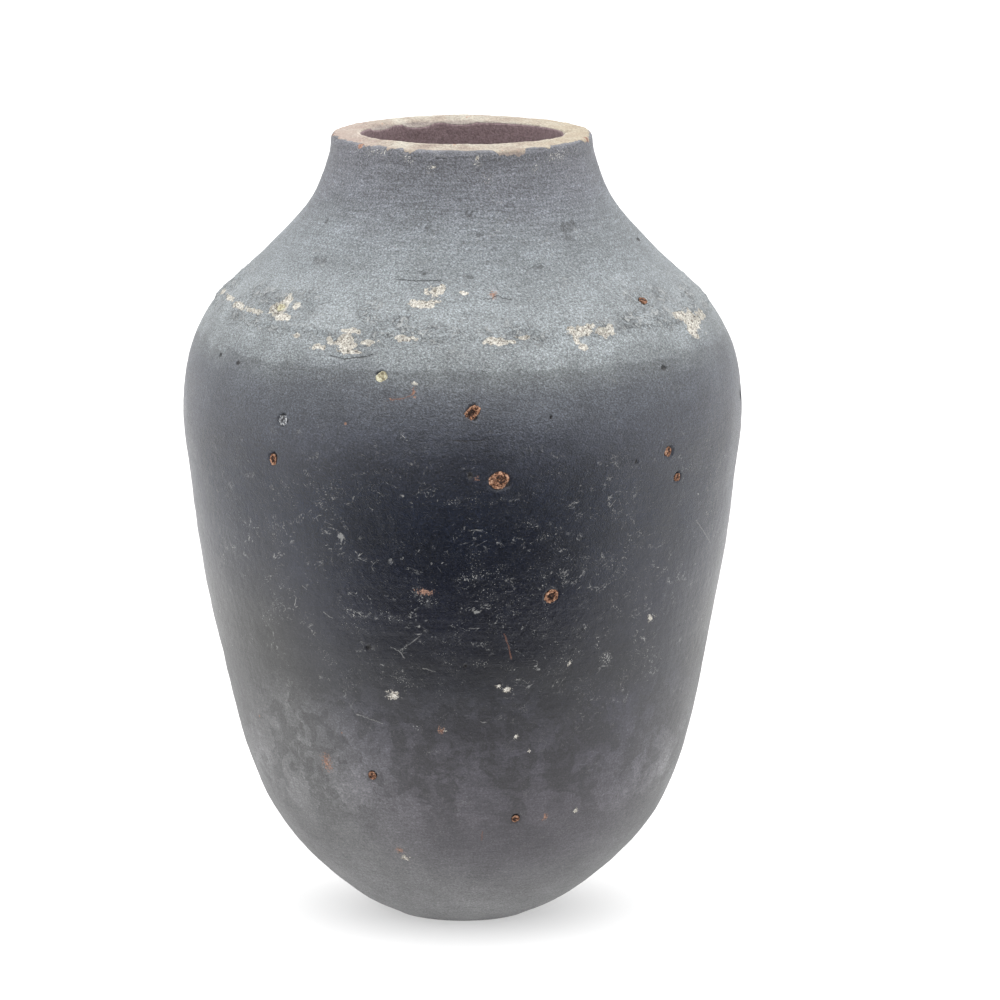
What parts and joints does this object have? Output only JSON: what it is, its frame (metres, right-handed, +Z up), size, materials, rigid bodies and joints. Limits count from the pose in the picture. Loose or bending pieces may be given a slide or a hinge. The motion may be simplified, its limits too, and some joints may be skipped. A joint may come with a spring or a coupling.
{
  "type": "black clay storage jar",
  "caption": "Tall narrow-footed black clay storage jar with full shoulder, short neck and bare flat lip, built as luted turned wall sections with coarse grit in the clay.",
  "frame": {"origin": "centre of the flat foot, on the surface the jar stands on", "axes": "+Z up the jar's turning axis, -Y the front that carries the large grain of burnt grit, +X to the viewer's right"},
  "size_m": [0.24, 0.24, 0.338],
  "materials": {
    "black_clay": "smoke-fired graphite grey clay, satin where burnished, dusty where worn",
    "lip_clay": "bare tan clay, matte and chipped",
    "burnt_grit": "porous burnt orange iron grit, matte",
    "lime": "chalky cream lime, matte",
    "quartz": "grey glassy crystal, satin"
  },
  "bodies": {
    "root": {"base_slab": "black_clay", "lower_wall": "black_clay", "belly_wall": "black_clay", "shoulder_wall": "black_clay", "neck_collar": "black_clay", "rim_band": "lip_clay", "burnt_grit_belly_front": "burnt_grit", "burnt_grit_shoulder_front": "burnt_grit", "burnt_grit_belly_left": "burnt_grit", "burnt_grit_belly_right": "burnt_grit", "burnt_grit_belly_right_low": "burnt_grit", "burnt_grit_middle_right": "burnt_grit", "burnt_grit_collar_right": "burnt_grit", "burnt_grit_lower_left": "burnt_grit", "burnt_grit_lower_right": "burnt_grit", "lime_nodule_shoulder": "lime", "lime_nodule_collar_left": "lime", "quartz_grain_shoulder_left": "quartz"}
  },
  "joints": []
}
